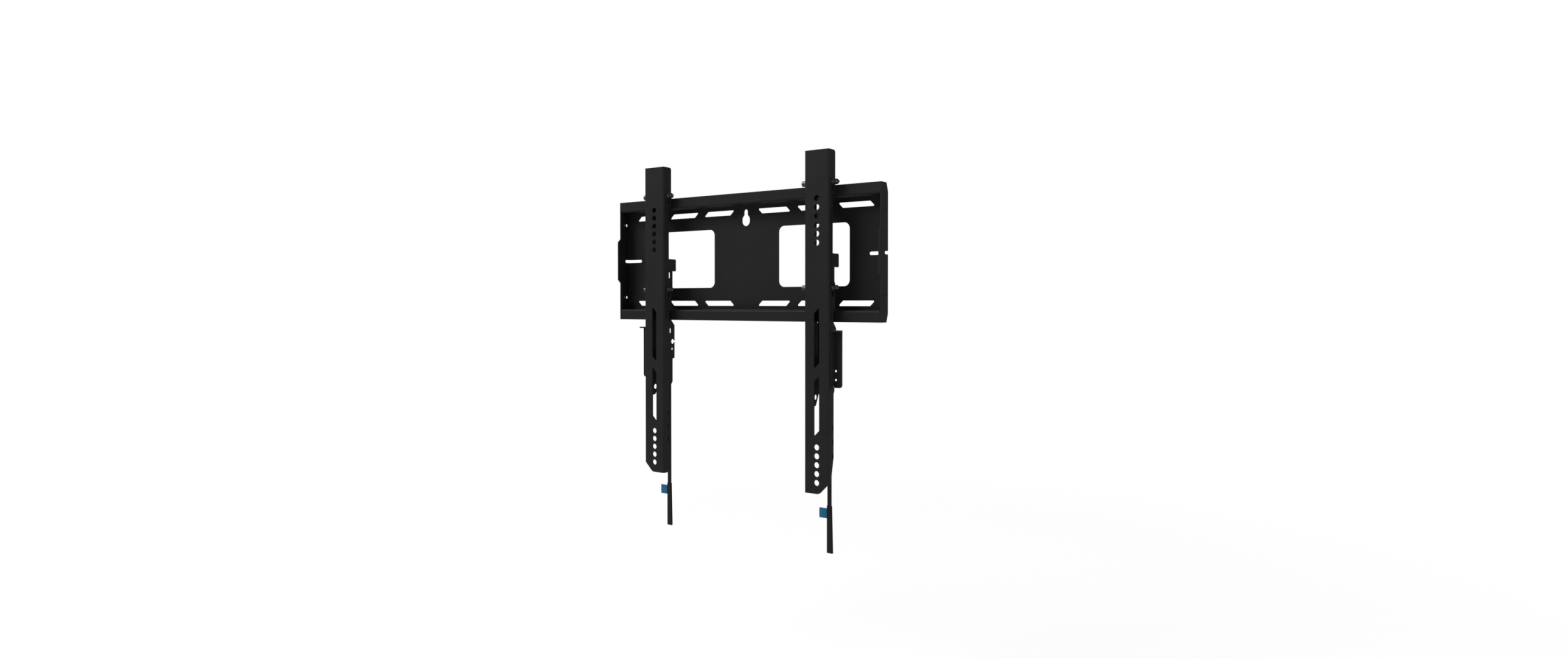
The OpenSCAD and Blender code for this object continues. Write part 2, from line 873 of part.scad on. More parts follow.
// Kickstand on the outer side of the rail
module kickstand() {
    x0 = stand_in;
    x1 = x0 + stand_sheet;
    y0 = stand_y[0];
    y1 = stand_y[1];
    z0 = stand_z[1];
    z1 = stand_z[0];
    color([0.09, 0.09, 0.1])
        difference() {
            union() {
                along_x(x0, x1)
                    polygon(concat([[y1, z1], [y0, z1]],
                        [for (a = [180 : 15 : 270]) [y0 + 3 + 3 * cos(a), z0 + 3 + 3 * sin(a)]],
                        [[y1, z0]]));
                along_y(y1 - stand_sheet, y1)
                    polygon(concat([[x0, z1], [x0, z0]],
                        [for (a = [-90 : 15 : 0]) [stand_out - 4 + 4 * cos(a), z0 + 4 + 4 * sin(a)]],
                        [[stand_out, z1]]));
                along_z(z1 - foot_t, z1)
                    polygon([[x0, y0], [foot_out - 2, y0], [foot_out, y0 + 2], [stand_out, y1], [x0, y1]]);
            }
            for (z = stand_hole_z)
                translate([x1 + 2, y1, z])
                    rotate([90, 0, 0])
                        cylinder(h = 8, d = 3.5, center = true);
            rod_x(x0 - 1, x1 + 1, stand_pivot[0], stand_pivot[1], rivet_d + 0.1);
        }
}

module kickstand_left() {
    place(-1)
        kickstand();
}

module kickstand_right() {
    place(1)
        kickstand();
}

module kickstand_rivet() {
    x1 = stand_in + stand_sheet + 0.2;
    color([0.45, 0.45, 0.46])
        translate([half_rail - sheet - 1, stand_pivot[0], stand_pivot[1]])
            rotate([0, 90, 0])
                rotate_extrude()
                    polygon([[0, 0], [rivet_head_d / 2 - 0.5, 0], [rivet_head_d / 2, 0.4],
                        [rivet_head_d / 2, 1], [rivet_d / 2, 1],
                        [rivet_d / 2, x1 - half_rail + sheet + 1],
                        [rivet_head_d / 2, x1 - half_rail + sheet + 1],
                        [rivet_head_d / 2, x1 - half_rail + sheet + 1.5],
                        [rivet_head_d / 2 - 0.8, x1 - half_rail + sheet + 2.3],
                        [0, x1 - half_rail + sheet + 2.6]]);
}

module kickstand_rivet_left() {
    place(-1)
        kickstand_rivet();
}

module kickstand_rivet_right() {
    place(1)
        kickstand_rivet();
}

wall_plate();
rail_left();
rail_right();
inner_channel_left();
inner_channel_right();
top_hook_left();
top_hook_right();
cross_bolts_left();
cross_bolts_right();
cross_nuts_left();
cross_nuts_right();
washers_left();
washers_right();
latch_slider_left();
latch_slider_right();
latch_spring_left();
latch_spring_right();
spring_pin_left();
spring_pin_right();
strap_bar_left();
strap_bar_right();
pull_strap_left();
pull_strap_right();
strap_tag_left();
strap_tag_right();
kickstand_left();
kickstand_right();
kickstand_rivet_left();
kickstand_rivet_right();
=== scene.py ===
# %% [markdown]
# # A low-profile wall mount
# Two tall rails hang on a folded steel plate. Each rail has a spring latch, a pull strap
# to open it, and a small kickstand. The folded steel comes from the CAD model, so this
# lesson dresses it: powder coat on the sheets, zinc on the fasteners, and real coils,
# webbing and tags where the CAD model only has simple solids.

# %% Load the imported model
import json
import math

import bmesh
import bpy
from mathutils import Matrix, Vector


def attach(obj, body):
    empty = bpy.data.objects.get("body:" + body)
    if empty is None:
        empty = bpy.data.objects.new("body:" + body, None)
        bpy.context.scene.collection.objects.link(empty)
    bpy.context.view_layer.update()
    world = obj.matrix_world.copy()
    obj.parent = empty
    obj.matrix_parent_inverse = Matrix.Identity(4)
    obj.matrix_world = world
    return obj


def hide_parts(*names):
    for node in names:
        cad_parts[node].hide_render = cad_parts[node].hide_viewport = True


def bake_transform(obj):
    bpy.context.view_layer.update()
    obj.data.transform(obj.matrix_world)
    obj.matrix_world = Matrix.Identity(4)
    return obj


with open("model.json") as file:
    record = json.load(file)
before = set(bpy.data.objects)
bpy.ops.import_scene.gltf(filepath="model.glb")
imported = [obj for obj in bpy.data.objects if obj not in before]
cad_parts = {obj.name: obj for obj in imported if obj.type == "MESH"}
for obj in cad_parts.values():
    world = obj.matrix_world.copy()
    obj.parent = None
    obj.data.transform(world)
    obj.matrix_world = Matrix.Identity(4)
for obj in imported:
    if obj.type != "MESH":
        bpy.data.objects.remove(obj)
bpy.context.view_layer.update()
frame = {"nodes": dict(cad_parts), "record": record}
nodes = frame["nodes"]
MM = 0.001
SIDES = {"left": -1, "right": 1}

# %% [markdown]
# ## The camera
# The photograph is a wide picture taken from the right of the mount, at about the height
# of its lower half. A camera is placed by its position, its turn and its focal length. The
# horizon lies a little above the picture's middle although the camera looks almost level,
# which is what a shifted lens does, so the shift is set rather than a steeper tilt.

# %% Place the camera
IMAGE_WIDTH = 2576
FOCAL_PX = 1446.62
SENSOR_MM = 36.0
CAMERA_AT = Vector((784.4, -1102.0, -69.6)) * MM
TURN = 0.576132
TILT = 0.010447
HORIZON_PX = 27.5
NEAREST = 0.01

camera_data = bpy.data.cameras.new("camera")
camera_data.sensor_width = SENSOR_MM
camera_data.lens = FOCAL_PX / IMAGE_WIDTH * SENSOR_MM
camera_data.shift_y = -HORIZON_PX / IMAGE_WIDTH
camera_data.clip_start = NEAREST
camera = bpy.data.objects.new("camera", camera_data)
camera.location = CAMERA_AT
camera.rotation_euler = (math.pi / 2 - TILT, 0, TURN)
bpy.context.scene.collection.objects.link(camera)
bpy.context.scene.camera = camera
bpy.context.scene.view_settings.view_transform = "Standard"
print("lens mm:", round(camera_data.lens, 3))

# %% [markdown]
# ## The stage
# The mount is shown alone on white. The floor is far below it. Its material glows white to
# the camera and keeps a part of its own shading near the mount, so a shadow still reads.
# That part fades with the distance, which leaves no line where the floor ends. The world
# is white to the camera and much dimmer to every other ray, so it lights the mount evenly
# without washing it out.

# %% The floor's material
FLOOR_COLOUR = (0.86, 0.86, 0.87, 1)
FLOOR_ROUGHNESS = 0.9
FLOOR_GLOW = 1.06
GLOW_FADE = {"From Min": 1.0, "From Max": 2.6, "To Min": 0.84, "To Max": 1.0}


def stage_material():
    """A floor that shows its own shading near the middle and plain white farther out."""
    material = bpy.data.materials.new("stage_white")
    material.use_nodes = True
    tree = material.node_tree
    bsdf = tree.nodes["Principled BSDF"]
    bsdf.inputs["Base Color"].default_value = FLOOR_COLOUR
    bsdf.inputs["Roughness"].default_value = FLOOR_ROUGHNESS
    glow = tree.nodes.new("ShaderNodeEmission")
    glow.inputs["Strength"].default_value = FLOOR_GLOW
    coordinates = tree.nodes.new("ShaderNodeTexCoord")
    distance = tree.nodes.new("ShaderNodeVectorMath")
    distance.operation = "LENGTH"
    tree.links.new(coordinates.outputs["Object"], distance.inputs[0])
    share = tree.nodes.new("ShaderNodeMapRange")
    share.interpolation_type = "SMOOTHSTEP"
    for name, number in GLOW_FADE.items():
        share.inputs[name].default_value = number
    tree.links.new(distance.outputs["Value"], share.inputs["Value"])
    path = tree.nodes.new("ShaderNodeLightPath")
    amount = tree.nodes.new("ShaderNodeMath")
    amount.operation = "MULTIPLY"
    tree.links.new(path.outputs["Is Camera Ray"], amount.inputs[0])
    tree.links.new(share.outputs["Result"], amount.inputs[1])
    mix = tree.nodes.new("ShaderNodeMixShader")
    tree.links.new(amount.outputs[0], mix.inputs[0])
    tree.links.new(bsdf.outputs[0], mix.inputs[1])
    tree.links.new(glow.outputs[0], mix.inputs[2])
    tree.links.new(mix.outputs[0], tree.nodes["Material Output"].inputs["Surface"])
    return material


# %% Floor and world
FLOOR_Z = -0.62
FLOOR_REACH = 12
AMBIENT = 0.27

mesh = bpy.data.meshes.new("floor")
corners = [(-1, -1), (1, -1), (1, 1), (-1, 1)]
mesh.from_pydata([(x * FLOOR_REACH, y * FLOOR_REACH, 0) for x, y in corners], [], [(0, 1, 2, 3)])
floor = bpy.data.objects.new("floor", mesh)
floor.location.z = FLOOR_Z
bpy.context.scene.collection.objects.link(floor)
floor.data.materials.append(stage_material())

world = bpy.data.worlds.new("studio")
bpy.context.scene.world = world
world.use_nodes = True
tree = world.node_tree
background = tree.nodes["Background"]
background.inputs["Color"].default_value = (1, 1, 1, 1)
path = tree.nodes.new("ShaderNodeLightPath")
strength = tree.nodes.new("ShaderNodeMapRange")
strength.inputs["To Min"].default_value = AMBIENT
strength.inputs["To Max"].default_value = 1.0
tree.links.new(path.outputs["Is Camera Ray"], strength.inputs["Value"])
tree.links.new(strength.outputs[0], background.inputs["Strength"])
print("floor at", FLOOR_Z, "m, ambient light", AMBIENT)

# %% [markdown]
# ## The lamps
# A large soft lamp stands in front, to the left and high up: in the photograph broad soft
# shadows fall to the right of each rail and under the upper lip. It stands too high to be
# mirrored in the upright faces, which keeps them even. A weaker lamp far to the right
# lights the rails' side faces and only grazes the faces that look forward.

# %% Lamps
LAMP_TARGET = Vector((0, 0, -0.12))


def lamp(name, place, size, power):
    """A square soft lamp, turned towards the middle of the mount."""
    data = bpy.data.lights.new(name, "AREA")
    data.shape = "SQUARE"
    data.size = size
    data.energy = power
    light = bpy.data.objects.new(name, data)
    light.location = place
    light.rotation_euler = (LAMP_TARGET - Vector(place)).to_track_quat("-Z", "Y").to_euler()
    bpy.context.scene.collection.objects.link(light)
    print(name, "lamp:", power, "W, size", size, "m")


lamp("key", place=(-2.0, -2.1, 2.9), size=2.0, power=150)
lamp("fill", place=(2.8, -0.8, 0.5), size=1.4, power=24)


# %% [markdown]
# ## Node helpers
# Every finish below is built from the same few moves: a texture that reads the object's
# own coordinates, so it stays put when a piece moves, a ramp between two tones, and a
# bump. The Bevel node rounds the sharp edges in the shading only. It leaves the mesh as
# it is, which the CAD sheets need.

# %% Helpers for finishes
BEVEL_SAMPLES = 4


def new_material(name):
    """A material, its node tree and its main shader."""
    material = bpy.data.materials.new(name)
    material.use_nodes = True
    tree = material.node_tree
    return material, tree, tree.nodes["Principled BSDF"]


def object_space(tree):
    return tree.nodes.new("ShaderNodeTexCoord").outputs["Object"]


def noise(tree, scale, detail):
    node = tree.nodes.new("ShaderNodeTexNoise")
    node.inputs["Scale"].default_value = scale
    node.inputs["Detail"].default_value = detail
    tree.links.new(object_space(tree), node.inputs["Vector"])
    return node.outputs["Fac"]


def between(tree, value, low, high, start=0.3, stop=0.7):
    """Map start to low and stop to high. A noise seldom leaves 0.3 to 0.7."""
    node = tree.nodes.new("ShaderNodeMapRange")
    names = ("From Min", "From Max", "To Min", "To Max")
    for name, number in zip(names, (start, stop, low, high)):
        node.inputs[name].default_value = number
    tree.links.new(value, node.inputs["Value"])
    return node.outputs["Result"]


def two_tones(tree, value, dark, light):
    """Mix two tones. The first may also be the output of another mix."""
    node = tree.nodes.new("ShaderNodeMix")
    node.data_type = "RGBA"
    if isinstance(dark, tuple):
        node.inputs["A"].default_value = (*dark, 1)
    else:
        tree.links.new(dark, node.inputs["A"])
    node.inputs["B"].default_value = (*light, 1)
    tree.links.new(value, node.inputs["Factor"])
    return node.outputs["Result"]


# %% Helpers for edges and relief
def soft_edge(tree, radius):
    """The normal as if every sharp edge were rounded to this radius."""
    node = tree.nodes.new("ShaderNodeBevel")
    node.samples = BEVEL_SAMPLES
    node.inputs["Radius"].default_value = radius
    return node.outputs["Normal"]


def bump(tree, height, depth, strength, normal=None):
    node = tree.nodes.new("ShaderNodeBump")
    node.inputs["Distance"].default_value = depth
    node.inputs["Strength"].default_value = strength
    tree.links.new(height, node.inputs["Height"])
    if normal is not None:
        tree.links.new(normal, node.inputs["Normal"])
    return node.outputs["Normal"]


def edge_share(tree, rounded):
    """1 on a rounded edge and 0 on a flat, from how far the two normals part."""
    flat = tree.nodes.new("ShaderNodeNewGeometry").outputs["Normal"]
    dot = tree.nodes.new("ShaderNodeVectorMath")
    dot.operation = "DOT_PRODUCT"
    tree.links.new(flat, dot.inputs[0])
    tree.links.new(rounded, dot.inputs[1])
    return between(tree, dot.outputs["Value"], low=1.0, high=0.0, start=0.86, stop=0.985)


# %% [markdown]
# ## Powder coat
# The sheets are folded steel under a fine black powder coat. Up close it is a satin surface
# with a tiny orange-peel texture, and a painted highlight makes each sharp edge a little lighter.
# A flat black would do from afar, but a fine bump with a slow drift of tone and gloss
# makes the coat read as paint when the model is seen closely.

# %% Powder-coated steel
COAT_EDGE = 0.5 * MM
# The largest share of the painted highlight that lightens the sharp edges.
EDGE_HIGHLIGHT_SHARE = 0.7
COAT_SPECULAR = 0.16


def powder_coat(name, dark, light, edge, roughness):
    """Satin paint: a slow drift of tone, painted edge highlights, orange peel and a finer grain.
    """
    material, tree, bsdf = new_material(name)
    rounded = soft_edge(tree, COAT_EDGE)
    drift = between(tree, noise(tree, scale=26, detail=3), 0, 1)
    tone = two_tones(tree, drift, dark, light)
    # Painted highlight: the edge tone is mixed in where the rounded normal parts from the flat
    # one.
    highlight_share = between(tree, edge_share(tree, rounded), 0, EDGE_HIGHLIGHT_SHARE, start=0, stop=1)
    tree.links.new(two_tones(tree, highlight_share, tone, edge), bsdf.inputs["Base Color"])
    gloss = between(tree, noise(tree, scale=60, detail=4), *roughness)
    tree.links.new(gloss, bsdf.inputs["Roughness"])
    bsdf.inputs["Specular IOR Level"].default_value = COAT_SPECULAR
    peel = noise(tree, scale=950, detail=2)
    grain = noise(tree, scale=3600, detail=1)
    relief = bump(tree, peel, depth=0.05 * MM, strength=0.4, normal=rounded)
    relief = bump(tree, grain, depth=0.02 * MM, strength=0.35, normal=relief)
    tree.links.new(relief, bsdf.inputs["Normal"])
    return material


# edge is the tone of the painted highlight on the sharp edges.
coat = powder_coat("powder_coat", dark=(0.0088, 0.0088, 0.0091), light=(0.0108, 0.0108, 0.0111),
                   edge=(0.022, 0.022, 0.023), roughness=(0.5, 0.62))
print("coat:", coat.name)

# %% [markdown]
# ## Zinc
# Bolts, nuts, washers and rivets are dark zinc. The plating is a dull grey metal with
# fine turning marks and small cloudy patches, so one noise varies its tone, another its
# roughness, and a stretched one gives it the marks. The springs' wire is the same finish
# in a darker tone.

# %% Plated steel
PLATED_EDGE = 0.2 * MM
MARK_SCALE = 1400
MARK_STRETCH = (6, 1, 1)


def plated(name, dark, light, roughness):
    """A dull plated metal with cloudy patches and fine marks round the X axis."""
    material, tree, bsdf = new_material(name)
    bsdf.inputs["Metallic"].default_value = 1.0
    patches = between(tree, noise(tree, scale=420, detail=4), 0, 1)
    tree.links.new(two_tones(tree, patches, dark, light), bsdf.inputs["Base Color"])
    gloss = between(tree, noise(tree, scale=900, detail=3), *roughness)
    tree.links.new(gloss, bsdf.inputs["Roughness"])
    stretch = tree.nodes.new("ShaderNodeMapping")
    stretch.inputs["Scale"].default_value = MARK_STRETCH
    tree.links.new(object_space(tree), stretch.inputs["Vector"])
    marks = tree.nodes.new("ShaderNodeTexNoise")
    marks.inputs["Scale"].default_value = MARK_SCALE
    tree.links.new(stretch.outputs["Vector"], marks.inputs["Vector"])
    rounded = soft_edge(tree, PLATED_EDGE)
    relief = bump(tree, marks.outputs["Fac"], depth=0.02 * MM, strength=0.4, normal=rounded)
    tree.links.new(relief, bsdf.inputs["Normal"])
    return material


zinc = plated("zinc", dark=(0.045, 0.045, 0.044), light=(0.11, 0.11, 0.108), roughness=(0.3, 0.46))
spring_wire = plated("spring_wire", dark=(0.018, 0.018, 0.018), light=(0.04, 0.04, 0.04),
                     roughness=(0.32, 0.5))
print("metals:", zinc.name, spring_wire.name)

# %% [markdown]
# ## Webbing and tag cloth
# The straps are black polyester webbing: ribs run across the band, and each rib is made of
# small strands. Two wave textures at right angles give that weave, in the piece's own
# coordinates, so it needs no UV map. The tag is a finer, denser cloth in blue, and the
# stitches are a twisted thread that is a little lighter than the webbing.

# %% Woven finishes
WAVE_PERIOD = 2 * math.pi / 20  # the distance between two bands at a scale of 1
WAVE_SHAPE = {"Distortion": 0.6, "Detail": 1.0, "Detail Scale": 2.0}
CLOTH_SHADER = {"Specular IOR Level": 0.25, "Sheen Weight": 0.08, "Sheen Roughness": 0.5}
CLOTH_ROUGHNESS = (0.75, 0.95)
WEAVE_STRENGTH = 0.7


def woven(name, dark, light, rib, strand, depth):
    """A cloth with ribs that far apart along Z and strands that far apart along X."""
    material, tree, bsdf = new_material(name)
    weave = tree.nodes.new("ShaderNodeMath")
    weave.operation = "MULTIPLY"
    for place, (direction, period) in enumerate((("Z", rib), ("X", strand))):
        wave = tree.nodes.new("ShaderNodeTexWave")
        wave.bands_direction = direction
        wave.inputs["Scale"].default_value = WAVE_PERIOD / period
        for socket, number in WAVE_SHAPE.items():
            wave.inputs[socket].default_value = number
        tree.links.new(object_space(tree), wave.inputs["Vector"])
        tree.links.new(wave.outputs["Fac"], weave.inputs[place])
    tree.links.new(two_tones(tree, weave.outputs[0], dark, light), bsdf.inputs["Base Color"])
    gloss = between(tree, noise(tree, scale=500, detail=3), *CLOTH_ROUGHNESS)
    tree.links.new(gloss, bsdf.inputs["Roughness"])
    for socket, number in CLOTH_SHADER.items():
        bsdf.inputs[socket].default_value = number
    relief = bump(tree, weave.outputs[0], depth, WEAVE_STRENGTH)
    tree.links.new(relief, bsdf.inputs["Normal"])
    return material


webbing = woven("webbing", dark=(0.0036, 0.0036, 0.0036), light=(0.0085, 0.0085, 0.0085),
                rib=1.3 * MM, strand=0.7 * MM, depth=0.2 * MM)
tag_cloth = woven("tag_cloth", dark=(0.006, 0.095, 0.18), light=(0.011, 0.15, 0.27),
                  rib=0.45 * MM, strand=0.45 * MM, depth=0.08 * MM)
thread = woven("thread", dark=(0.012, 0.012, 0.012), light=(0.03, 0.03, 0.03),
               rib=0.3 * MM, strand=0.3 * MM, depth=0.05 * MM)
print("cloths:", webbing.name, tag_cloth.name, thread.name)

# %% Dress the CAD nodes
SLOT_MATERIAL = {"black_steel": coat, "zinc_steel": zinc, "black_webbing": webbing,
                 "blue_tag": tag_cloth}
for row in frame["record"]["subparts"]:
    piece = nodes[row["node"]]
    piece.data.materials.clear()
    piece.data.materials.append(SLOT_MATERIAL[row["material_slot"]])


# %% [markdown]
# ## Skins from rings
# Bolts, nuts, coils and straps are all skins over a row of rings. A ring may be round,
# six-sided or flat, and rings with the same number of points join point by point. One
# helper that joins rings makes every one of these pieces.

# %% Join rings and make a piece
def loft(rings, closed=False):
    """Join rings to a skin, as points and faces. It has end caps unless it closes on itself."""
    count = len(rings[0])
    verts = [tuple(point) for ring in rings for point in ring]
    faces = []
    for i in range(len(rings) if closed else len(rings) - 1):
        a, b = i * count, (i + 1) % len(rings) * count
        for j in range(count):
            after = (j + 1) % count
            faces.append((a + j, a + after, b + after, b + j))
    if not closed:
        faces.append(tuple(reversed(range(count))))
        faces.append(tuple(range((len(rings) - 1) * count, len(rings) * count)))
    return verts, faces


def new_piece(name, skins, material, sharp=35):
    """One object from skins in millimetres. Edges above that angle in degrees stay sharp."""
    mesh = bpy.data.meshes.new(name)
    verts, faces = [], []
    for skin_verts, skin_faces in skins:
        faces += [tuple(len(verts) + i for i in face) for face in skin_faces]
        verts += skin_verts
    mesh.from_pydata([tuple(c * MM for c in v) for v in verts], [], faces)
    shell = bmesh.new()
    shell.from_mesh(mesh)
    bmesh.ops.recalc_face_normals(shell, faces=shell.faces)
    shell.to_mesh(mesh)
    shell.free()
    mesh.polygons.foreach_set("use_smooth", [True] * len(mesh.polygons))
    mesh.set_sharp_from_angle(angle=math.radians(sharp))
    mesh.materials.append(material)
    piece = bpy.data.objects.new(name, mesh)
    bpy.context.scene.collection.objects.link(piece)
    print(name, "faces:", len(mesh.polygons))
    return piece


# %% Rings and wires
def ring_about_x(x, y, z, radius, count):
    """A ring across the X axis. radius is a number or a function of the angle."""
    ring = []
    for k in range(count):
        a = 2 * math.pi * k / count
        r = radius(a) if callable(radius) else radius
        ring.append((x, y + r * math.cos(a), z + r * math.sin(a)))
    return ring


def six_sided(across_flats, at_most=math.inf):
    """The radius of a hexagon against the angle, cut to a circle where it is too large."""
    def radius(a):
        part = (a + math.pi / 6) % (math.pi / 3) - math.pi / 6
        return min(across_flats / 2 / math.cos(part), at_most)
    return radius


def directions(points):
    """The way ahead at each point of a line, from the points beside it."""
    last = len(points) - 1
    return [(points[min(i + 1, last)] - points[max(i - 1, 0)]).normalized()
            for i in range(len(points))]


def sweep(points, radius, sides):
    """A round wire along the points. Each ring is turned as little as its direction allows."""
    points = [Vector(p) for p in points]
    ahead = directions(points)
    turns = [2 * math.pi * k / sides for k in range(sides)]
    up = ahead[0].orthogonal().normalized()
    rings = []
    for point, direction in zip(points, ahead):
        up = (up - direction * up.dot(direction)).normalized()
        across = direction.cross(up)
        rings.append([point + radius * (math.cos(a) * up + math.sin(a) * across) for a in turns])
    return loft(rings)


# %% [markdown]
# ## Cross bolts, nuts and washers
# Two bolts run through each rail. The real ones are socket screws: a knurled round head
# with a six-sided socket on the left, a flat and a split washer under it, and a flanged nut
# over the thread's end on the right. The CAD model has the plain shapes. The knurl, the
# thread and the nut's chamfer are a matter of radius against angle and length, so each is
# written as a small function over the rings.

# %% Sizes of the fasteners, in millimetres
RAIL_X = 150
RAIL_FRONT = -42
BOLT_Y = RAIL_FRONT + 11.5
BOLT_Z = (100.1, -48.3)
# Each of these is a distance from the rail's middle, along the bolt.
WASHER_IN = 20.25
NUT_IN = 21.25
HEAD_IN = 22.45
HEAD_OUT = 29.75
NUT_OUT = 27.75
BOLT_TIP = 29.95
THREAD_START = -6
# These are radii and widths.
SHANK_RADIUS = 1.98
TIP_RADIUS = 1.45
BORE_RADIUS = 2.05
SOCKET_FLATS = 4
NUT_FLATS = 7

# %% Screw heads
HEAD_SIDES = 64
KNURL_RADIUS = 3.98
KNURL_DEPTH = 0.14


def knurl(a):
    """Teeth round the head: every second point of the ring lies a little lower."""
    tooth = round(a / (2 * math.pi / HEAD_SIDES)) % 2
    return KNURL_RADIUS - KNURL_DEPTH * tooth


# (distance from the rail's middle, radius), from the seat over the rim into the socket
HEAD_PROFILE = [
    (HEAD_IN, 1.9), (HEAD_IN, 3.75), (HEAD_IN + 0.25, 3.95), (HEAD_IN + 0.5, knurl),
    (HEAD_OUT - 0.9, knurl), (HEAD_OUT - 0.55, 3.95), (HEAD_OUT - 0.1, 3.55),
    (HEAD_OUT, 3.3), (HEAD_OUT, 2.6), (HEAD_OUT - 0.3, six_sided(SOCKET_FLATS)),
    (HEAD_OUT - 2.9, six_sided(SOCKET_FLATS)), (HEAD_OUT - 3.5, 0.2),
]


def screw_head(x0, z):
    return loft([ring_about_x(x0 - u, BOLT_Y, z, r, HEAD_SIDES) for u, r in HEAD_PROFILE])


# %% Screw threads
PITCH = 0.7
RINGS_A_PITCH = 6
THREAD_DEPTH = 0.36
THREAD_SIDES = 24
SHANK_IN_HEAD = 0.5
TIP_TAPER = 0.4


def screw_shank(x0, z):
    """A plain shank out of the head, then a ridge that climbs as the angle goes round."""
    def threaded(u):
        def radius(a):
            turn = (u / PITCH - a / (2 * math.pi)) % 1
            return SHANK_RADIUS - THREAD_DEPTH * abs(2 * turn - 1)
        return radius

    def ring(u, radius):
        return ring_about_x(x0 + u, BOLT_Y, z, radius, THREAD_SIDES)

    step = PITCH / RINGS_A_PITCH
    rings = [ring(-HEAD_IN - SHANK_IN_HEAD, SHANK_RADIUS), ring(THREAD_START, SHANK_RADIUS)]
    for i in range(int((BOLT_TIP - THREAD_START - TIP_TAPER) / step)):
        rings.append(ring(THREAD_START + (i + 1) * step, threaded(i * step)))
    rings.append(ring(BOLT_TIP, TIP_RADIUS))
    return loft(rings)


for side, sign in SIDES.items():
    x0 = sign * RAIL_X
    skins = [make(x0, z) for z in BOLT_Z for make in (screw_head, screw_shank)]
    screws = new_piece(f"socket_screws_{side}", skins, zinc)
    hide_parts(f"cross_bolts_{side}")
    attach(screws, "plate")

# %% Flanged nuts
NUT_SIDES = 48
NUT_SHARP = 25
# (distance from the rail's middle, radius), from the flange up the hexagon into the bore
NUT_PROFILE = [
    (NUT_IN, BORE_RADIUS), (NUT_IN, 4.35), (NUT_IN + 0.2, 4.5), (NUT_IN + 0.7, 4.45),
    (NUT_IN + 1.1, six_sided(NUT_FLATS, 4.1)), (NUT_IN + 1.3, six_sided(NUT_FLATS)),
    (NUT_OUT - 0.75, six_sided(NUT_FLATS)), (NUT_OUT - 0.45, six_sided(NUT_FLATS, 3.85)),
    (NUT_OUT - 0.15, six_sided(NUT_FLATS, 3.6)), (NUT_OUT, 3.35), (NUT_OUT, 2.4),
    (NUT_OUT - 0.35, BORE_RADIUS),
]


def flanged_nut(x0, z):
    rings = [ring_about_x(x0 + u, BOLT_Y, z, r, NUT_SIDES) for u, r in NUT_PROFILE]
    return loft(rings, closed=True)


for side, sign in SIDES.items():
    skins = [flanged_nut(sign * RAIL_X, z) for z in BOLT_Z]
    nuts = new_piece(f"flanged_nuts_{side}", skins, zinc, NUT_SHARP)
    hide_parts(f"cross_nuts_{side}")
    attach(nuts, "plate")

# %% Flat and split washers
WASHER_SIDES = 48
WASHER_RADIUS = 5.5
WASHER_EDGE = WASHER_RADIUS - 0.2
# (distance from the lower face, radius), round the washer's section
WASHER_PROFILE = [(0, BORE_RADIUS), (0, WASHER_EDGE), (0.18, WASHER_RADIUS),
                  (0.82, WASHER_RADIUS), (1, WASHER_EDGE), (1, BORE_RADIUS)]
SPLIT_RADIUS = 3.75
SPLIT_BORE = 2.15
SPLIT_INSET = 0.05
SPLIT_STEPS = 40
SPLIT_START, SPLIT_ARC = 100, 346  # degrees, which leaves a gap of 14
SPLIT_RISE = 0.22
SPLIT_SHARE, SPLIT_SEAT = 0.8, 0.12  # a section thinner than its gap, in the gap's middle


def flat_washer(x, z):
    rings = [ring_about_x(x + u, BOLT_Y, z, r, WASHER_SIDES) for u, r in WASHER_PROFILE]
    return loft(rings, closed=True)


def split_washer(x, z, gap):
    """A flat wire bent almost once round, with one end lifted past the other."""
    low, high = SPLIT_INSET, gap - SPLIT_INSET
    corners = [(low, SPLIT_BORE), (low, SPLIT_RADIUS), (high, SPLIT_RADIUS), (high, SPLIT_BORE)]
    rings = []
    for k in range(SPLIT_STEPS + 1):
        share = k / SPLIT_STEPS
        a = math.radians(SPLIT_START + SPLIT_ARC * share)
        start = x + SPLIT_SEAT + SPLIT_RISE * (share - 0.5)
        rings.append([(start + u * SPLIT_SHARE, BOLT_Y + r * math.cos(a), z + r * math.sin(a))
                      for u, r in corners])
    return loft(rings)


for side, sign in SIDES.items():
    x0 = sign * RAIL_X
    skins = []
    for z in BOLT_Z:
        skins += [flat_washer(x0 + WASHER_IN, z), flat_washer(x0 - NUT_IN, z)]
        skins.append(split_washer(x0 - HEAD_IN, z, HEAD_IN - NUT_IN))
    washers = new_piece(f"flat_and_split_washers_{side}", skins, zinc)
    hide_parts(f"washers_{side}")
    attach(washers, "plate")

# %% [markdown]
# ## Latch springs
# Each latch is held closed by a close-wound tension spring. Its upper eye hooks over the
# lower cross bolt and its lower eye round the slider's pin. A ring stack would look like a
# coil from afar, but a real coil is one wire, so the wire's line is written as a helix that
# ends in two upright loops, and a round section follows it.

# %% The coil's wire, in millimetres
COIL_RADIUS = 3.4
WIRE = 1.2
WIRE_SIDES = 7
TURN_GAP = 0.06
POINTS_A_TURN = 16
EYE_TOP_Z = -49
EYE_LOW_Z = -164.5
EYE_NECK = 0.6
EYE_START, EYE_ARC = 250, 300  # degrees
EYE_STEPS = 22


def eye_points(z, up):
    """A loop round the bolt or pin, from its open end towards the coil."""
    arc = [math.radians(EYE_START - EYE_ARC * k / EYE_STEPS) for k in range(EYE_STEPS + 1)]
    return [(0, COIL_RADIUS * math.cos(a), z + up * COIL_RADIUS * math.sin(a)) for a in arc]


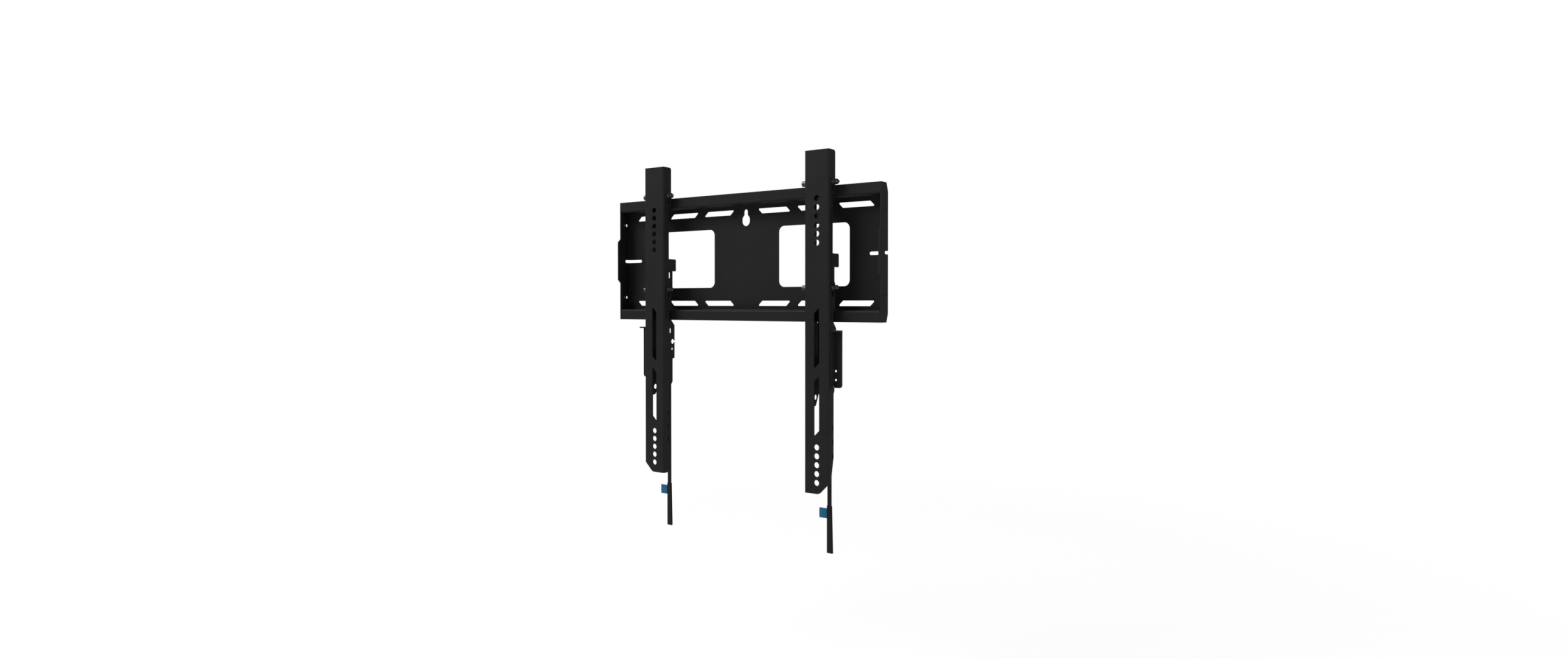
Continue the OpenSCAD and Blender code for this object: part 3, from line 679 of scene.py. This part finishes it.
def spring_line():
    top = EYE_TOP_Z - COIL_RADIUS - EYE_NECK
    low = EYE_LOW_Z + COIL_RADIUS + EYE_NECK
    count = round((top - low) / (WIRE + TURN_GAP)) * POINTS_A_TURN
    helix = []
    for k in range(count + 1):
        a = math.pi / 2 + 2 * math.pi * k / POINTS_A_TURN
        z = top + (low - top) * k / count
        helix.append((COIL_RADIUS * math.cos(a), COIL_RADIUS * math.sin(a), z))
    return eye_points(EYE_TOP_Z, 1)[:-1] + helix + eye_points(EYE_LOW_Z, -1)[::-1][1:]


# %% Wind the coils
SMOOTH_PIECE = 60  # degrees: soft pieces and wires have no sharper edge

for side, sign in SIDES.items():
    line = [(sign * RAIL_X + x, BOLT_Y + y, z) for x, y, z in spring_line()]
    skin = sweep(line, WIRE / 2, WIRE_SIDES)
    coil = new_piece(f"tension_coil_{side}", [skin], spring_wire, SMOOTH_PIECE)
    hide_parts(f"latch_spring_{side}")
    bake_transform(coil)

# %% [markdown]
# ## Pull straps
# One length of webbing goes up behind the bar, over it and down again in front, and both
# layers are sewn together below. A solid strip would hide that, so a flat oval section
# follows the whole loop. The two layers lie on each other for most of the way, and the
# lower end is slipped into a wider grip that carries the tag.

# %% Smooth lines
def smooth_line(points, step):
    """Points a step apart on a smooth curve through the given ones."""
    line = []
    for i in range(len(points) - 1):
        p0, p1 = Vector(points[max(i - 1, 0)]), Vector(points[i])
        p2, p3 = Vector(points[i + 1]), Vector(points[min(i + 2, len(points) - 1)])
        count = max(1, round((p2 - p1).length / step))
        for k in range(count):
            t = k / count
            bend = (2 * p0 - 5 * p1 + 4 * p2 - p3) * t * t + (3 * p1 - p0 - 3 * p2 + p3) * t ** 3
            line.append(p1 + 0.5 * ((p2 - p0) * t + bend))
    line.append(Vector(points[-1]))
    return line


# %% The strap's line, as (depth behind the rail's front, height) in millimetres
BAR_DEPTH, BAR_Z = 32.4, -151
LOOP_RADIUS = 2.6
BAND_WIDTH, BAND_THICK = 6.0, 1.45
STRAP_DEPTH = 36.8
LAYER_OFFSET = 0.77
STRAP_END_Z = -429
GRIP_TOP_Z = -361.5
STRAIGHT_Z = (-240, -280, -320, -360, -400, STRAP_END_Z)
LINE_STEP = 1.6

over_the_bar = []
for degrees in range(0, 181, 20):
    a = math.radians(degrees)
    over_the_bar.append((BAR_DEPTH + LOOP_RADIUS * math.cos(a), BAR_Z + LOOP_RADIUS * math.sin(a)))
up_behind = [(STRAP_DEPTH + LAYER_OFFSET, z) for z in reversed((-212, *STRAIGHT_Z))]
up_behind += [(37.4, -196), (36.7, -180), (35.6, -165), (35.05, -156)]
down_in_front = [(29.9, -155), (31.2, -162), (33.5, -172), (35.3, -186), (35.95, -200)]
down_in_front += [(STRAP_DEPTH - LAYER_OFFSET, z) for z in (-216, *STRAIGHT_Z)]
loop_line = smooth_line(up_behind + over_the_bar + down_in_front, LINE_STEP)
webbing_length = sum((b - a).length for a, b in zip(loop_line, loop_line[1:]))
print("webbing in one strap, mm:", round(webbing_length))

# %% Lay the webbing
OVAL_ACROSS, OVAL_THROUGH = 0.35, 0.6  # powers below 1 fill an ellipse out to a flat bar


def flat_oval(width, thick, count=16):
    """A flat section with round selvedges, as (across, through) pairs."""
    ring = []
    for k in range(count):
        a = 2 * math.pi * (k + 0.5) / count
        across = math.copysign(abs(math.cos(a)) ** OVAL_ACROSS, math.cos(a))
        through = math.copysign(abs(math.sin(a)) ** OVAL_THROUGH, math.sin(a))
        ring.append((width / 2 * across, thick / 2 * through))
    return ring


def band(x0, line, section):
    """A section carried along a line in the plane across X."""
    rings = []
    for point, ahead in zip(line, directions(line)):
        through = Vector((ahead.y, -ahead.x))
        rings.append([(x0 + u, RAIL_FRONT + point.x + v * through.x, point.y + v * through.y)
                      for u, v in section])
    return loft(rings)


for side, sign in SIDES.items():
    skin = band(sign * RAIL_X, loop_line, flat_oval(BAND_WIDTH, BAND_THICK))
    strap = new_piece(f"webbing_strap_{side}", [skin], webbing, SMOOTH_PIECE)
    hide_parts(f"pull_strap_{side}")
    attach(strap, f"latch_{side[0]}")

# %% [markdown]
# ## Grips, stitching and tags
# The grip is a sleeve of heavier webbing, a little wider at its foot, closed with two rows
# of stitches. Stitches drawn in a bump would vanish at the edges, so each is a small bead
# of thread. The tag is a folded label caught in the grip's edge. It stays bare.

# %% Grips
GRIP_LEFT = -4
GRIP_TOP_WIDTH, GRIP_END_WIDTH = 8.0, 9.7
GRIP_THICK = 3.5
GRIP_END_Z = -430
GRIP_STEPS = 36
GRIP_SIDES = 24
GRIP_EDGE = [(0, 0.55), (0.35, 0.85), (1.0, 1.0)]  # distance from the edge, share of thickness
GRIP_EDGE_INSET = 0.6


def grip_width(z):
    share = (GRIP_TOP_Z - z) / (GRIP_TOP_Z - GRIP_END_Z)
    return GRIP_TOP_WIDTH + (GRIP_END_WIDTH - GRIP_TOP_WIDTH) * share


def grip_skin(x0):
    """Flat ovals down the sleeve, thinner at its two ends."""
    round_over = GRIP_EDGE[-1][0]
    straight = GRIP_TOP_Z - GRIP_END_Z - 2 * round_over
    levels = [(GRIP_TOP_Z - d, share) for d, share in GRIP_EDGE]
    for k in range(1, GRIP_STEPS + 1):
        levels.append((GRIP_TOP_Z - round_over - straight * k / GRIP_STEPS, 1.0))
    levels += [(GRIP_END_Z + d, share) for d, share in reversed(GRIP_EDGE[:-1])]
    rings = []
    for z, share in levels:
        width = grip_width(z)
        middle = x0 + GRIP_LEFT + width / 2
        section = flat_oval(width - GRIP_EDGE_INSET * (1 - share), GRIP_THICK * share, GRIP_SIDES)
        rings.append([(middle + u, RAIL_FRONT + STRAP_DEPTH + v, z) for u, v in section])
    return loft(rings)


# %% One stitch
STITCH_RADIUS = 0.2
STITCH_SIDES = 6
STITCH_POINTS = 6
STITCH_RISE = 0.16


def stitch(x, y, z, length, upright=True):
    """A short bead of thread that bows out towards the front."""
    half = length / 2
    line = []
    for k in range(STITCH_POINTS):
        t = -1 + 2 * k / (STITCH_POINTS - 1)
        rise = STITCH_RISE * (1 - t * t)
        line.append((x, y - rise, z - half * t) if upright else (x + half * t, y - rise, z))
    return sweep(line, STITCH_RADIUS, STITCH_SIDES)


# %% Seams of the grip, in millimetres
SEAM_LIFT = 0.02
SEAM_INSET = 1.3
SEAM_START, SEAM_STEP, SEAM_COUNT, SEAM_LENGTH = 3.4, 3.05, 22, 2.1
END_SEAM_START, END_SEAM_STEP, END_SEAM_COUNT, END_SEAM_LENGTH = 1.6, 1.25, 5, 0.95
END_SEAM_Z = (GRIP_TOP_Z - 1.6, GRIP_END_Z + 1.8)


def grip_stitches(x0):
    """Two long rows on both faces and a short row across each end of the front."""
    skins = []
    middle = RAIL_FRONT + STRAP_DEPTH
    front = middle - GRIP_THICK / 2 - SEAM_LIFT
    back = middle + GRIP_THICK / 2 + SEAM_LIFT
    for k in range(SEAM_COUNT):
        z = GRIP_TOP_Z - SEAM_START - k * SEAM_STEP
        for u in (GRIP_LEFT + SEAM_INSET, GRIP_LEFT + grip_width(z) - SEAM_INSET):
            skins += [stitch(x0 + u, y, z, SEAM_LENGTH) for y in (front, back)]
    for k in range(END_SEAM_COUNT):
        x = x0 + GRIP_LEFT + END_SEAM_START + k * END_SEAM_STEP
        skins += [stitch(x, front, z, END_SEAM_LENGTH, upright=False) for z in END_SEAM_Z]
    return skins


# %% [markdown]
# ### The tag
# A woven label is a ribbon folded on itself. Its section is a flat hairpin that opens a
# little between the seam and the fold, and the label is that section drawn along the height.

# %% Tags, in millimetres
TAG_TOP_Z, TAG_LOW_Z = -365.2, -379.4
TAG_LEFT, TAG_RIGHT = -15.6, -2.9
TAG_DEPTH = 34.55
TAG_SHEET = 0.34
TAG_STEPS = 12
TAG_SEAM_GAP, TAG_OPENING = 0.22, 0.12
FOLD_ACROSS, FOLD_THROUGH, FOLD_SHEET = 0.5, 0.4, 0.62
LEAN = 0.16 / 12  # millimetres forward for each millimetre from the seam
LEAN_STEPS = 16


def tag_section():
    """The hairpin's outline, as pairs of (across, depth)."""
    outer, inner = [], []
    fold = TAG_LEFT + FOLD_ACROSS
    for k in range(TAG_STEPS + 1):
        t = k / TAG_STEPS
        u = TAG_RIGHT + (fold - TAG_RIGHT) * t
        layer = TAG_DEPTH - (TAG_SEAM_GAP + TAG_OPENING * math.sin(math.pi * t))
        outer.append((u, layer - TAG_SHEET / 2))
        inner.append((u, layer + TAG_SHEET / 2))
    back = [(u, 2 * TAG_DEPTH - d) for u, d in reversed(outer)]
    inner_back = [(u, 2 * TAG_DEPTH - d) for u, d in inner]
    bend = []
    for degrees in range(-60, 61, 30):
        a = math.radians(degrees)
        bend.append((fold - FOLD_ACROSS * math.cos(a), TAG_DEPTH + FOLD_THROUGH * math.sin(a)))
    inside_bend = [(TAG_LEFT + FOLD_SHEET, TAG_DEPTH)]
    return outer + bend + back + inner_back + inside_bend + list(reversed(inner))


def tag_skin(x0):
    """The hairpin drawn down the label, which leans forward in the middle of its height."""
    section = tag_section()
    rings = []
    for k in range(LEAN_STEPS + 1):
        t = k / LEAN_STEPS
        z = TAG_TOP_Z + (TAG_LOW_Z - TAG_TOP_Z) * t
        lean = LEAN * math.sin(math.pi * t)
        rings.append([(x0 + u, RAIL_FRONT + d - lean * (TAG_RIGHT - u), z) for u, d in section])
    return loft(rings)


# %% Seams of the tag, in millimetres
TAG_SEAM_U = TAG_RIGHT - 0.9
TAG_SEAM_Y = RAIL_FRONT + TAG_DEPTH - 0.48
TAG_SEAM_START, TAG_SEAM_STEP, TAG_SEAM_COUNT, TAG_SEAM_LENGTH = 1.2, 1.95, 7, 1.5
TAG_EDGE_Y = RAIL_FRONT + TAG_DEPTH - 0.56
TAG_EDGE_Z = (TAG_TOP_Z - 0.8, TAG_LOW_Z + 0.8)
TAG_EDGE_START, TAG_EDGE_STEP, TAG_EDGE_COUNT, TAG_EDGE_LENGTH = 1.6, 1.7, 6, 1.2


def tag_stitches(x0):
    """One row beside the grip and one along each edge of the label."""
    skins = []
    for k in range(TAG_SEAM_COUNT):
        z = TAG_TOP_Z - TAG_SEAM_START - k * TAG_SEAM_STEP
        skins.append(stitch(x0 + TAG_SEAM_U, TAG_SEAM_Y, z, TAG_SEAM_LENGTH))
    for z in TAG_EDGE_Z:
        for k in range(TAG_EDGE_COUNT):
            x = x0 + TAG_LEFT + TAG_EDGE_START + k * TAG_EDGE_STEP
            skins.append(stitch(x, TAG_EDGE_Y, z, TAG_EDGE_LENGTH, upright=False))
    return skins


# %% Put the grips and tags on the straps
TAG_SHARP = 50
# The middle of the two layers, from the bar down to where they run straight
CORD_TOP = [(BAR_DEPTH, BAR_Z), (32.6, -156), (33.5, -165), (34.7, -175), (36.1, -188),
            (36.7, -200)]
route = CORD_TOP + [(STRAP_DEPTH, z) for z in (-212, *STRAIGHT_Z)]

for side, sign in SIDES.items():
    x0 = sign * RAIL_X
    grip = new_piece(f"strap_grip_{side}", [grip_skin(x0)], webbing, SMOOTH_PIECE)
    seams = new_piece(f"grip_stitches_{side}", grip_stitches(x0), thread, SMOOTH_PIECE)
    tag = new_piece(f"woven_tag_{side}", [tag_skin(x0)], tag_cloth, TAG_SHARP)
    tag_seam = new_piece(f"tag_stitches_{side}", tag_stitches(x0), tag_cloth, SMOOTH_PIECE)
    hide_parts(f"strap_tag_{side}")
    for piece in (grip, seams, tag, tag_seam):
        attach(piece, f"latch_{side[0]}")
    line = [(x0 * MM, (RAIL_FRONT + d) * MM, z * MM) for d, z in route]
